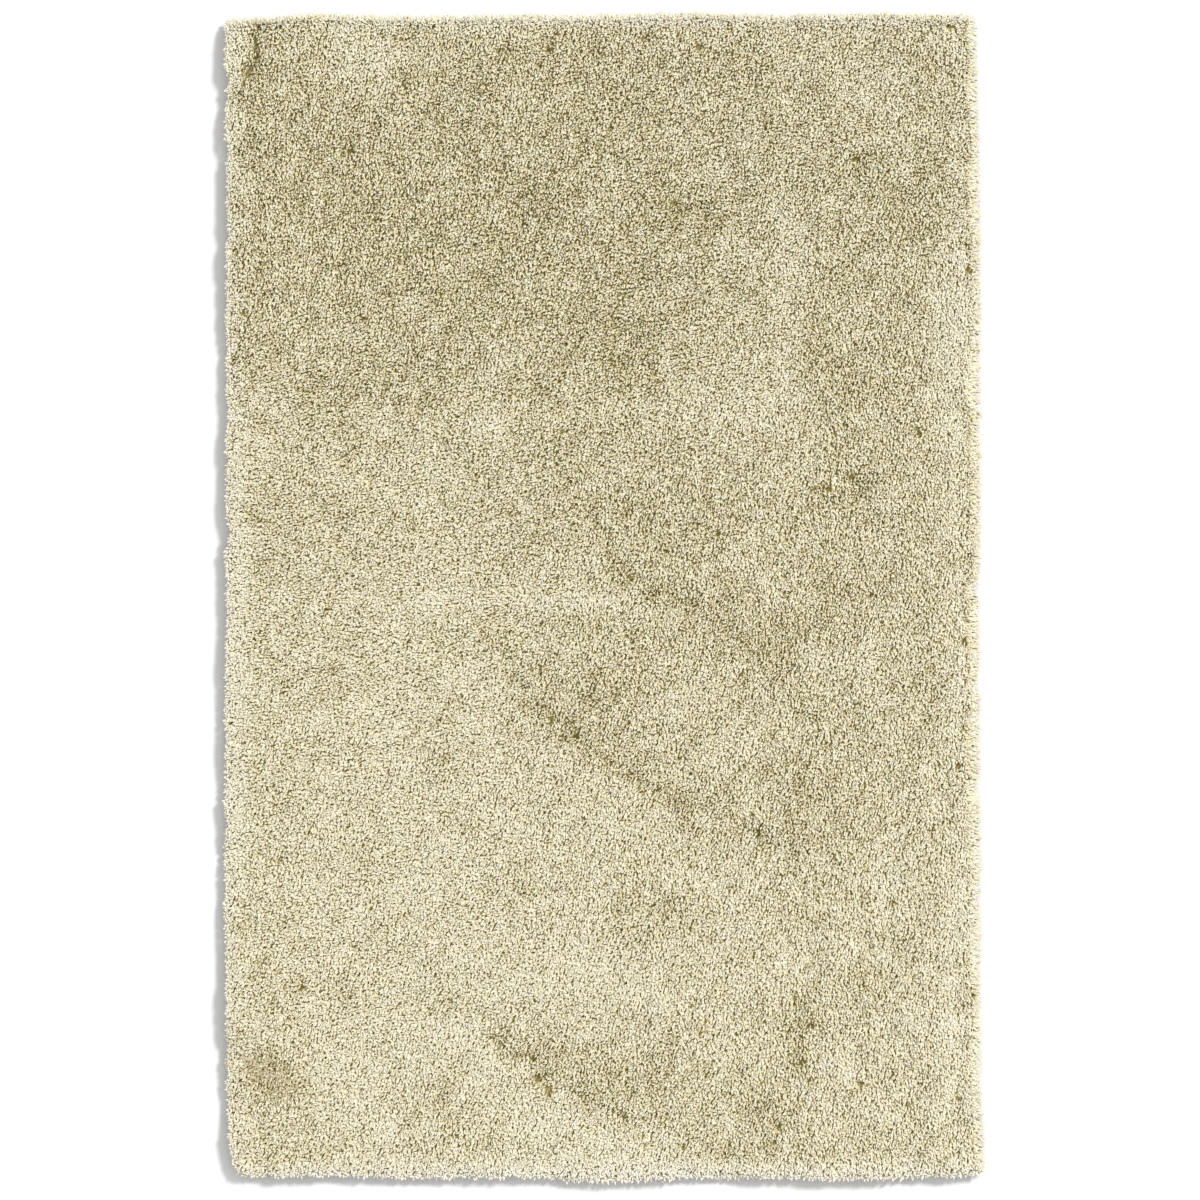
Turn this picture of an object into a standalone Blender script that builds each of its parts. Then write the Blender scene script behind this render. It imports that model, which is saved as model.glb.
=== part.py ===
"""Shag rug of 1.5 by 2.3 m, lying flat with its pile up.

Metres, +Z up. The origin is on the floor under the middle of the rug, and +Y runs along its length.
The rug is one solid: the pile is a lumpy slab, and locks of yarn hang out all round its rim.
"""

import math
import random

import bmesh
import bpy
from mathutils import Vector, noise

# Driving dimensions, from lock tip to lock tip
RUG_WIDTH = 1.500
RUG_LENGTH = 2.320
PILE_HEIGHT = 0.034

# The rim, seen in section: the pile's shoulder, the belly that bulges over the floor, and the foot
SHOULDER_HEIGHT = 0.80 * PILE_HEIGHT
SHOULDER_INSET = 0.034
BELLY_HEIGHT = 0.34 * PILE_HEIGHT
BELLY_INSET = 0.020
FOOT_INSET = 0.036
SHOULDER_LUMPS = 0.4  # how much of the pile's unevenness the shoulder has
CORNER_PULL = 0.29  # how far a corner point moves in, as a share of the corner's radius

# Cells of the pile's surface. Each rim cell carries two locks, which makes 296 in all
CELLS_ACROSS = 29
CELLS_ALONG = 45

# Locks at the rim
LOCK_ROOT_SHIFT = 0.0055  # along the edge, to either side, so that locks are wide and narrow
LOCK_WAIST = (0.50, 0.74)  # thinnest and thickest, as a share of the root
LOCK_WAIST_PLACE = 0.56  # how far out the waist is, as a share of the way to the tip
LOCK_REACH = (0.60, 1.35)  # shortest and longest, as a share of the belly's inset
LOCK_SWAY = 0.009  # sideways, to either side
LOCK_TIP_HEIGHT = (0.001, 0.020)
LOCK_ARCH = 0.1  # rise at the waist, as a share of the lock's fall

# Soft unevenness of the pile
SWELL = 0.0075
SWELL_SIZE = 0.21
LUMP = 0.0080
LUMP_SIZE = 0.048
CLUMP_SHIFT = 0.0085  # how far a point of the surface moves in plan, so that no grid shows
CLUMP_RISE = 0.0024  # and up or down
PARTING_PULL = 0.018  # points this near a parting slide to it
PARTING_SLIDE = 0.85

# How far each edge wanders outwards from the plain rectangle, in mm, at even steps
EDGE_WANDER_MM = {
    "left": (7, 6, 4, 5, 4, 4, 5, 7, 7, 8, 5, 3, -5),  # from the top end down
    "right": (-2, 4, 7, 8, 7, 8, 6, 7, 7, 8, 8, 9, 16),
    "top": (-4, 7, 3, 5, 6, 9, 5, 9, 6),  # from left to right
    "bottom": (3, 3, 7, 6, 15, 7, 9, 9, 3),
}

# Nicks in an edge where its locks part: side, place along it in m, depth and half width in mm
EDGE_NICKS = (
    ("left", 1.032, 7, 18),
    ("left", 0.888, 7, 16),
    ("left", 0.720, 5, 16),
    ("left", 0.584, 3, 14),
    ("left", 0.496, 4, 14),
    ("left", 0.376, 5, 14),
    ("left", 0.128, 8, 22),
    ("right", 0.016, 8, 14),
    ("right", -0.176, 7, 12),
    ("right", -0.248, 6, 8),
    ("right", -0.380, 6, 12),
    ("bottom", -0.184, 5, 16),
)

# Radius of each corner: (right or left, top or bottom) as signs
CORNER_RADIUS = {(-1, 1): 0.012, (1, 1): 0.018, (-1, -1): 0.034, (1, -1): 0.022}

# Lines along which the pile falls apart: depth, half width, and the points of the line
PARTINGS = (
    (
        0.011,
        0.014,
        ((-0.690, 1.136), (-0.694, 1.112), (-0.688, 1.080), (-0.702, 1.058), (-0.716, 1.032), (-0.720, 0.998)),
    ),
    (0.007, 0.016, ((-0.034, 0.082), (0.056, 0.032), (0.156, -0.018), (0.276, -0.088), (0.340, -0.190))),
    (
        0.010,
        0.016,
        ((-0.194, -0.148), (-0.114, -0.238), (-0.024, -0.312), (0.076, -0.374), (0.176, -0.424), (0.336, -0.492)),
    ),
    (0.008, 0.016, ((-0.234, -0.888), (-0.144, -0.948), (-0.044, -1.008), (0.076, -1.058), (0.196, -1.098))),
    (0.008, 0.014, ((0.396, -0.828), (0.390, -0.958))),
    (0.007, 0.014, ((0.706, -0.640), (0.712, -0.860), (0.712, -1.100))),
    (0.006, 0.014, ((0.426, 0.992), (0.496, 0.732))),
)

# Hollows pressed into the pile: x, y, radius, depth
HOLLOWS = (
    (-0.514, 0.902, 0.032, 0.007),
    (0.176, 0.776, 0.050, 0.006),
    (0.516, 0.866, 0.036, 0.007),
    (-0.114, 1.112, 0.032, 0.006),
    (-0.100, 0.790, 0.060, 0.005),
    (0.000, 0.530, 0.100, 0.005),
    (-0.384, 0.472, 0.050, 0.004),
    (0.486, 0.232, 0.050, 0.006),
    (0.446, -0.070, 0.060, 0.005),
    (0.076, -0.638, 0.056, 0.006),
    (-0.664, -0.958, 0.050, 0.006),
    (0.050, -0.290, 0.070, 0.004),
)

YARN_COLOUR = (0.84, 0.78, 0.57, 1.0)  # cream
YARN_ROUGHNESS = 0.95

chance = random.Random(7)


def eased(a, b, share):
    """From a to b with a soft start and end."""
    return a + (b - a) * (1 - math.cos(math.pi * share)) / 2


def edge_wander(side, share):
    """How far an edge stands out from the plain rectangle at a share of its length, from its top or left end."""
    steps = EDGE_WANDER_MM[side]
    place = share * (len(steps) - 1)
    step = min(int(place), len(steps) - 2)
    wander = eased(steps[step], steps[step + 1], place - step)
    along_width = side in ("top", "bottom")
    at = (share - 0.5) * RUG_WIDTH if along_width else (0.5 - share) * RUG_LENGTH
    for nicked, centre, depth, half_width in EDGE_NICKS:
        if nicked == side:
            wander -= depth * math.exp(-(((at - centre) * 1000 / half_width) ** 2))
    return wander / 1000


def on_rug(u, v):
    """The plan place of a point of the pile's surface, from u and v that run from -1 to 1 across and along."""
    x = u * (RUG_WIDTH / 2 - SHOULDER_INSET)
    y = v * (RUG_LENGTH / 2 - SHOULDER_INSET)
    # An edge's wander fades towards the middle of the rug
    x += edge_wander("right" if u > 0 else "left", (1 - v) / 2) * u * abs(u) ** 3
    y += edge_wander("top" if v > 0 else "bottom", (1 + u) / 2) * v * abs(v) ** 3
    if min(abs(u), abs(v)) > 0.999:
        pull = CORNER_PULL * CORNER_RADIUS[round(u), round(v)]
        x -= math.copysign(pull, u)
        y -= math.copysign(pull, v)
    return Vector((x, y))


def nearest_on_line(point, line):
    """The nearest place to a point on a line of several stretches."""
    best = None
    for a, b in zip(line, line[1:]):
        start = Vector(a)
        run = Vector(b) - start
        share = max(0.0, min(1.0, (point - start).dot(run) / run.length_squared))
        place = start + run * share
        if best is None or (place - point).length < (best - point).length:
            best = place
    return best


def slid_to_parting(point):
    """A surface point, slid towards a parting that runs close by, so that the parting is a crisp trough."""
    for _, _, line in PARTINGS:
        place = nearest_on_line(point, line)
        if (place - point).length < PARTING_PULL:
            return point.lerp(place, PARTING_SLIDE)
    return point


def pile_height(point):
    """Height of the pile's surface over the floor."""
    height = PILE_HEIGHT
    height += SWELL * noise.noise(Vector((point.x, point.y, 0.3)) / SWELL_SIZE)
    height += LUMP * noise.noise(Vector((point.x, point.y, 1.7)) / LUMP_SIZE)
    for depth, half_width, line in PARTINGS:
        away = (nearest_on_line(point, line) - point).length
        height -= depth * math.exp(-((away / half_width) ** 2))
    for x, y, radius, depth in HOLLOWS:
        away = (Vector((x, y)) - point).length
        height -= depth * math.exp(-((away / radius) ** 2))
    return height


def by_place(item):
    """Sorts points or faces by their place, so that random draws always fall on the same ones."""
    place = item.co if isinstance(item, bmesh.types.BMVert) else item.calc_center_median()
    return round(place.y, 5), round(place.x, 5)


def rim_directions(ring):
    """For each rim point, the way out from the rug in plan: square to its edge, and diagonal at a corner."""
    directions = {}
    half_width = max(abs(point.co.x) for point in ring)
    half_length = max(abs(point.co.y) for point in ring)
    for point in ring:
        x = point.co.x if abs(point.co.x) > half_width - 1e-4 else 0.0
        y = point.co.y if abs(point.co.y) > half_length - 1e-4 else 0.0
        directions[point] = Vector((math.copysign(bool(x), x), math.copysign(bool(y), y), 0.0)).normalized()
    return directions


def extruded_ring(shell, ring_edges, directions, outwards, height):
    """Extrudes the open rim once. Each new point moves outwards from the old one, to the given height."""
    grown = bmesh.ops.extrude_edge_only(shell, edges=ring_edges)["geom"]
    new_edges = [item for item in grown if isinstance(item, bmesh.types.BMEdge) and item.is_boundary]
    new_directions = {}
    for point in {end for edge in new_edges for end in edge.verts}:
        old = next(edge.other_vert(point) for edge in point.link_edges if edge.other_vert(point) in directions)
        new_directions[point] = directions[old]
        point.co = old.co + directions[old] * outwards
        point.co.z = height
    band = [item for item in grown if isinstance(item, bmesh.types.BMFace)]
    return new_edges, new_directions, band


def grow_lock(shell, face, directions):
    """Turns one face of the rim into a four-sided lock that hangs out over the floor and ends in a point."""
    outwards = sum((directions[point] for point in face.verts if point in directions), Vector()).normalized()
    sideways = Vector((-outwards.y, outwards.x, 0.0)) * chance.uniform(-LOCK_SWAY, LOCK_SWAY)
    reach = BELLY_INSET * chance.uniform(*LOCK_REACH)
    thickness = chance.uniform(*LOCK_WAIST)
    root = face.calc_center_median()
    tip = root + outwards * (reach + (SHOULDER_INSET - BELLY_INSET) / 2) + sideways
    tip.z = chance.uniform(*LOCK_TIP_HEIGHT)

    waist = bmesh.ops.extrude_discrete_faces(shell, faces=[face])["faces"][0]
    middle = root.lerp(tip, LOCK_WAIST_PLACE)
    middle.z += LOCK_ARCH * (root.z - tip.z)
    for point in waist.verts:
        point.co = middle + (point.co - root) * thickness
    point_of_lock = bmesh.ops.poke(shell, faces=[waist])["verts"][0]
    point_of_lock.co = tip


def build_pile():
    """The whole rug as one closed mesh."""
    shell = bmesh.new()
    bmesh.ops.create_grid(shell, x_segments=CELLS_ACROSS, y_segments=CELLS_ALONG, size=1.0)
    rim = [edge for edge in shell.edges if edge.is_boundary]
    bmesh.ops.subdivide_edges(shell, edges=rim, cuts=1)
    bmesh.ops.poke(shell, faces=shell.faces[:])
    directions = rim_directions([point for point in shell.verts if point.is_boundary])

    for point in sorted(shell.verts, key=by_place):
        place = on_rug(point.co.x, point.co.y)
        if point in directions:
            along = Vector((-directions[point].y, directions[point].x))
            place += along * chance.uniform(-LOCK_ROOT_SHIFT, LOCK_ROOT_SHIFT)
            lump = SHOULDER_LUMPS * (pile_height(place) - PILE_HEIGHT)
            point.co = (place.x, place.y, SHOULDER_HEIGHT + lump)
        else:
            place += Vector((chance.uniform(-1, 1), chance.uniform(-1, 1))) * CLUMP_SHIFT
            place = slid_to_parting(place)
            clump = chance.uniform(-CLUMP_RISE, CLUMP_RISE)
            point.co = (place.x, place.y, pile_height(place) + clump)

    rim = [edge for edge in shell.edges if edge.is_boundary]
    rim, belly, shoulder_band = extruded_ring(
        shell, rim, directions, SHOULDER_INSET - BELLY_INSET, BELLY_HEIGHT
    )
    rim, _, _ = extruded_ring(shell, rim, belly, BELLY_INSET - FOOT_INSET, 0.0)
    bmesh.ops.contextual_create(shell, geom=rim)  # the flat underside
    for face in sorted(shoulder_band, key=by_place):
        grow_lock(shell, face, belly)
    bmesh.ops.recalc_face_normals(shell, faces=shell.faces[:])

    # The origin lies under the middle of the rug, whichever way its edges wander
    middle = Vector((0.0, 0.0, 0.0))
    middle.x = (max(point.co.x for point in shell.verts) + min(point.co.x for point in shell.verts)) / 2
    middle.y = (max(point.co.y for point in shell.verts) + min(point.co.y for point in shell.verts)) / 2
    bmesh.ops.translate(shell, verts=shell.verts[:], vec=-middle)

    mesh = bpy.data.meshes.new("shag_pile")
    shell.to_mesh(mesh)
    shell.free()
    return mesh


def yarn_material():
    """Cream yarn with a dull, woolly surface."""
    material = bpy.data.materials.new("cream_yarn")
    material.use_nodes = True
    shader = material.node_tree.nodes["Principled BSDF"]
    shader.inputs["Base Color"].default_value = YARN_COLOUR
    shader.inputs["Roughness"].default_value = YARN_ROUGHNESS
    shader.inputs["Metallic"].default_value = 0.0
    return material


def main():
    for old in list(bpy.data.objects):
        bpy.data.objects.remove(old)
    collection = bpy.data.collections.new("shag_rug")
    bpy.context.scene.collection.children.link(collection)
    rug = bpy.data.objects.new("shag_pile", build_pile())
    rug.data.materials.append(yarn_material())
    collection.objects.link(rug)


main()
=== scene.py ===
import math

import bpy
import numpy as np
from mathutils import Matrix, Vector, noise


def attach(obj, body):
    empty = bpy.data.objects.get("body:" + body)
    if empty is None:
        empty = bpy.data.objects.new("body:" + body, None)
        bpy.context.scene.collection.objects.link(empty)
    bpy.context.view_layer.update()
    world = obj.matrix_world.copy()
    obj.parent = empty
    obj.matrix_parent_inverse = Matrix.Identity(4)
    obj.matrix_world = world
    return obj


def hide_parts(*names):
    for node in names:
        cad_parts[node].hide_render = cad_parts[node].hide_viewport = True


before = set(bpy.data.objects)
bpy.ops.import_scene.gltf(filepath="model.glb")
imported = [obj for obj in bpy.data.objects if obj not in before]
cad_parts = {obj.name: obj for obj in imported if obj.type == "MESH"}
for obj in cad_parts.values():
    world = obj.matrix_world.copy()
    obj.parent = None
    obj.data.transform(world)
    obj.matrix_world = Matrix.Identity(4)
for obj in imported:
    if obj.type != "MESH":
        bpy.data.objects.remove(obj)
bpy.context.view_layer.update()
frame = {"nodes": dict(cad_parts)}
print("frame loaded:", ", ".join(frame["nodes"]))

# the rug as it lies, in metres: the origin is on the floor under its middle, +Y runs along its length
rug = {
    "width": 1.500,  # between the usual yarn tips
    "length": 2.320,
    "pile": 0.034,  # height of the tips over the floor
    "swell": 0.0075,  # long soft waves of the surface
    "swellSize": 0.21,
    "lump": 0.0080,
    "lumpSize": 0.048,
    "seed": 7,
}

# how far each edge wanders outwards, in mm, at even steps from its top or left end
edgeWander = {
    "left": (7, 6, 4, 5, 4, 4, 5, 7, 7, 8, 5, 3, -5),
    "right": (-2, 4, 7, 8, 7, 8, 6, 7, 7, 8, 8, 9, 16),
    "top": (-4, 7, 3, 5, 6, 9, 5, 9, 6),
    "bottom": (3, 3, 7, 6, 15, 7, 9, 9, 3),
}

# nicks in an edge: side, place along it in m, depth and half width in mm
edgeNicks = (
    ("left", 1.032, 7, 18), ("left", 0.888, 7, 16), ("left", 0.720, 5, 16), ("left", 0.584, 3, 14),
    ("left", 0.496, 4, 14), ("left", 0.376, 5, 14), ("left", 0.128, 8, 22), ("right", 0.016, 8, 14),
    ("right", -0.176, 7, 12), ("right", -0.248, 6, 8), ("right", -0.380, 6, 12), ("bottom", -0.184, 5, 16),
)

# radius of each corner: left or right, bottom or top
cornerRadius = {(-1, 1): 0.012, (1, 1): 0.018, (-1, -1): 0.034, (1, -1): 0.022}

# lines where the pile falls apart: depth and half width of the trough, by how many levels of painted shade
# it is darker on the line and above it, where the pile leans towards the light, and of painted light lighter
# below it, where it leans away, and how wide and how steadily it stands open, if at all
partings = (
    {"depth": 0.011, "halfWidth": 0.014, "on": 14, "above": 4, "below": 0, "open": (0.0026, 0.7),
     "line": ((-0.690, 1.136), (-0.694, 1.112), (-0.688, 1.080), (-0.702, 1.058), (-0.716, 1.032),
              (-0.720, 0.998))},
    {"depth": 0.007, "halfWidth": 0.016, "on": 2, "above": 5, "below": 3,
     "line": ((-0.034, 0.082), (0.056, 0.032), (0.156, -0.018), (0.276, -0.088), (0.340, -0.190))},
    {"depth": 0.010, "halfWidth": 0.016, "on": 3, "above": 7, "below": 2,
     "line": ((-0.194, -0.148), (-0.114, -0.238), (-0.024, -0.312), (0.076, -0.374), (0.176, -0.424),
              (0.336, -0.492))},
    {"depth": 0.008, "halfWidth": 0.016, "on": 2, "above": 6, "below": 7,
     "line": ((-0.234, -0.888), (-0.144, -0.948), (-0.044, -1.008), (0.076, -1.058), (0.196, -1.098))},
    {"depth": 0.008, "halfWidth": 0.014, "on": 4, "above": 4, "below": 0,
     "line": ((0.396, -0.828), (0.390, -0.958))},
    {"depth": 0.007, "halfWidth": 0.014, "on": 3, "above": 0, "below": 4,
     "line": ((0.706, -0.640), (0.712, -0.860), (0.712, -1.100))},
    {"depth": 0.006, "halfWidth": 0.014, "on": 0, "above": 3, "below": 0,
     "line": ((0.426, 0.992), (0.496, 0.732))},
)

# hollows pressed into the pile: x, y, radius, depth
hollows = (
    (-0.514, 0.902, 0.032, 0.007), (0.176, 0.776, 0.050, 0.006), (0.516, 0.866, 0.036, 0.007),
    (-0.114, 1.112, 0.032, 0.006), (-0.100, 0.790, 0.060, 0.005), (0.000, 0.530, 0.100, 0.005),
    (-0.384, 0.472, 0.050, 0.004), (0.486, 0.232, 0.050, 0.006), (0.446, -0.070, 0.060, 0.005),
    (0.076, -0.638, 0.056, 0.006), (-0.664, -0.958, 0.050, 0.006), (0.050, -0.290, 0.070, 0.004),
)

# pits where the pile stands open and the lower pile shows, with painted shade darkening the strands round
# them,
# charted: for each radius, their x and y in mm
pits = {
    4: (
        (-680, 956), (-76, 980), (-66, 858), (-92, 888), (14, 784), (44, 844), (32, 828), (66, 1000),
        (-368, 616), (658, 918), (348, 1076), (-524, 660), (-412, 1060), (-436, 1120), (-692, 490),
        (-680, 462), (-18, 534), (502, 488), (616, 414), (108, 102), (696, 138), (-484, 414), (-24, 236),
        (14, 214), (-416, 262), (-420, 288), (-612, 102), (-620, 38), (672, 38), (674, 14), (124, -406),
        (304, -128), (300, -256), (348, -144), (368, -316), (406, -392), (120, -500), (-588, -396),
        (-218, -442), (-228, -238), (-244, -220), (-68, -416), (-636, -220), (-684, -854), (-588, -926),
        (-560, -934), (-724, -1070), (-326, -634), (-708, -630), (-516, -810), (-280, -802),
    ),
    5: (
        (-708, 972), (-724, 916), (-728, 888), (-718, 870), (-700, 868), (-634, 1064), (-486, 910),
        (-464, 892), (-444, 944), (-368, 1050), (-354, 976), (-296, 962), (-266, 1030), (-92, 1128),
        (-82, 960), (-56, 892), (-124, 858), (-56, 798), (36, 796), (124, 1076), (76, 1060), (160, 1112),
        (282, 1112), (290, 1044), (366, 1010), (450, 916), (540, 880), (512, 848), (536, 1134), (192, 778),
        (100, 790), (120, 776), (78, 702), (-156, 728), (-390, 690), (-414, 640), (-732, 676), (632, 820),
        (712, 602), (420, 1090), (-708, 512), (-526, 544), (-282, 504), (-368, 482), (-380, 458),
        (-528, 490), (-116, 550), (-30, 558), (114, 532), (494, 434), (552, 414), (720, 374), (708, 294),
        (706, 262), (424, 282), (488, 270), (182, 218), (264, 102), (390, 22), (486, 14), (508, 62),
        (452, -2), (724, 42), (732, 66), (-510, 392), (-392, 348), (-712, 386), (-384, 234), (-168, 398),
        (-12, 190), (736, 354), (732, 526), (736, 258), (-326, -100), (-80, -216), (-24, -308), (148, -392),
        (152, -412), (290, -112), (302, -232), (360, -84), (396, -48), (394, -212), (390, -232),
        (408, -368), (404, -512), (434, -260), (516, -284), (518, -394), (482, -464), (468, -528),
        (600, -356), (726, -228), (724, -260), (704, -316), (720, -392), (480, -48), (212, -544),
        (88, -592), (-416, -368), (-692, -388), (-568, -208), (-188, -172), (-230, -406), (-168, -540),
        (-296, -356), (-36, -456), (-688, -228), (-640, -826), (-648, -1002), (-640, -1106), (-594, -1102),
        (-578, -1062), (-424, -1024), (-404, -1078), (-370, -1100), (-292, -1060), (-226, -1114),
        (-228, -1018), (-168, -914), (-12, -1022), (4, -1038), (132, -954), (132, -914), (124, -802),
        (176, -858), (282, -962), (278, -1006), (312, -1036), (236, -1114), (390, -958), (386, -896),
        (314, -692), (390, -656), (300, -722), (428, -730), (522, -738), (520, -766), (508, -858),
        (496, -1004), (608, -950), (632, -1058), (704, -938), (698, -742), (704, -846), (664, -1134),
        (48, -750), (-236, -614), (-260, -630), (-130, -636), (-550, -706), (-608, -690), (-448, -800),
        (-304, -818), (-200, -718), (184, -718),
    ),
    6: (
        (-464, 1024), (-492, 976), (-520, 916), (-426, 872), (-322, 932), (-208, 1090), (-52, 926),
        (-92, 772), (322, 936), (588, 1128), (-578, 734), (-414, 740), (-440, 602), (-724, 624), (726, 700),
        (-716, 562), (-708, 538), (-736, 472), (-480, 552), (-360, 554), (-284, 550), (-308, 530),
        (24, 466), (166, 452), (496, 458), (712, 348), (420, 214), (480, 204), (384, 202), (280, 194),
        (212, 194), (204, 134), (128, 86), (368, 108), (440, 104), (726, 24), (732, 166), (104, 2),
        (-88, 430), (-550, -26), (-120, -224), (-82, -284), (18, -336), (32, -356), (56, -360), (76, -392),
        (114, -276), (274, -84), (322, -118), (328, -188), (276, -164), (336, -280), (332, -346),
        (368, -432), (376, -484), (590, -526), (728, -48), (732, -152), (726, -172), (696, -456),
        (244, -564), (256, -586), (176, -588), (-486, -336), (-646, -532), (-696, -970), (-222, -886),
        (-16, -998), (38, -1042), (88, -894), (102, -948), (208, -962), (176, -822), (208, -850),
        (340, -1098), (256, -1098), (160, -1104), (354, -1062), (412, -970), (330, -678), (610, -1022),
        (634, -1118), (710, -1030), (704, -1122), (28, -1152),
    ),
    7: (
        (-506, 890), (-396, 1020), (-126, 1062), (-108, 1094), (82, 1116), (192, 1096), (508, 874),
        (694, 1136), (144, 784), (732, 650), (634, 322), (452, 210), (498, 234), (230, 126), (56, 34),
        (-102, -248), (-52, -280), (110, -390), (312, -476), (724, -92), (710, -344), (176, -544),
        (-604, -786), (-140, -926), (400, -938), (414, -862), (384, -808), (580, -618), (514, -978),
        (710, -1006), (742, -802),
    ),
    8: (
        (-128, -966), (-108, -990),
    ),
}

# where the pile is brushed: painted light and shade, lighter where its lean turns it from the light and
# darker where it leans towards it, also along the rims, and setting how the strands lie (see calmOf): x, y,
# half width and half height in mm, turn in degrees, and by how many levels of 255
brushedShade = (
    (-124, 792, 800, 380, 0, -14), (-444, -508, 660, 660, 0, 10), (712, 152, 36, 1120, 0, 12),
    (700, 532, 52, 100, 0, 9), (716, -768, 48, 340, 0, 6), (-732, -88, 28, 520, 0, 16),
    (-732, 1104, 24, 100, 0, 16), (-4, -1158, 840, 18, 0, 32), (76, -1144, 140, 32, 0, 8),
    (-4, 1150, 840, 13, 0, 40), (-494, 1076, 92, 60, 0, 17), (-514, 896, 44, 40, 0, -8),
    (176, 776, 60, 34, 0, -12), (-124, 782, 44, 40, 0, -8), (12, 952, 36, 120, 0, -7),
    (-234, 972, 48, 110, 0, -6), (-4, 542, 120, 110, 0, -7), (-374, 468, 40, 40, 0, -8),
    (-474, 682, 100, 120, 0, -4), (360, 562, 36, 210, 0, 14), (246, 392, 100, 68, 0, 13),
    (-234, 342, 48, 40, 0, 13), (-194, 478, 40, 36, 0, 8), (-504, 392, 120, 48, 0, -7),
    (512, 862, 36, 32, 0, -8), (532, 1022, 68, 72, 0, 9), (596, 768, 72, 68, 0, -6),
    (476, 432, 52, 72, 0, -11), (506, 228, 52, 44, 0, -11), (-354, 232, 40, 92, 0, 7),
    (-348, -12, 48, 40, 0, 10), (-164, -12, 220, 24, 0, 9), (76, 168, 190, 90, 0, -9),
    (-84, 268, 90, 60, 0, -6), (126, -8, 150, 26, -28, -7), (286, -72, 92, 48, 0, -8),
    (446, -24, 110, 44, 20, -12), (336, -132, 52, 56, 0, -9), (466, -152, 80, 44, 0, 9),
    (-24, -238, 100, 72, -35, -10), (-84, -278, 88, 26, -45, -4), (406, -408, 92, 124, 0, -12),
    (486, -268, 60, 60, 0, -5), (276, -278, 36, 60, 0, 5), (166, -198, 40, 72, 0, 7),
    (-500, 142, 60, 52, 0, -5), (-254, -64, 100, 28, 0, -7), (-460, -518, 48, 32, 0, -7),
    (96, -632, 100, 52, 0, -10), (-204, -584, 60, 40, 0, -9), (396, -618, 64, 52, 0, -7),
    (-24, -752, 170, 72, 0, 9), (-444, -688, 44, 32, 0, -7), (-514, -808, 68, 28, 0, -6),
    (-320, -818, 48, 24, 0, -7), (-504, -968, 64, 100, 0, 7), (-308, -1018, 68, 24, -55, -11),
    (-288, -892, 48, 44, 0, 9), (36, -952, 230, 64, -14, -8), (240, -978, 52, 44, 0, 6),
    (400, -898, 28, 80, 0, -9), (320, -1032, 68, 40, 0, -7), (-134, -1052, 124, 44, -20, 6),
    (16, -1112, 120, 36, 0, 6), (528, -778, 40, 40, 0, -9), (196, -1104, 160, 24, 0, -6),
    (-704, 902, 36, 60, 0, -6), (-250, 0, 500, 550, 0, -2), (600, -100, 220, 500, 0, -3),
    (250, 850, 350, 220, 0, 4), (550, -750, 220, 350, 0, 3), (100, -150, 220, 220, 0, -3),
    (-680, -450, 120, 550, 0, -5),
)
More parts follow.
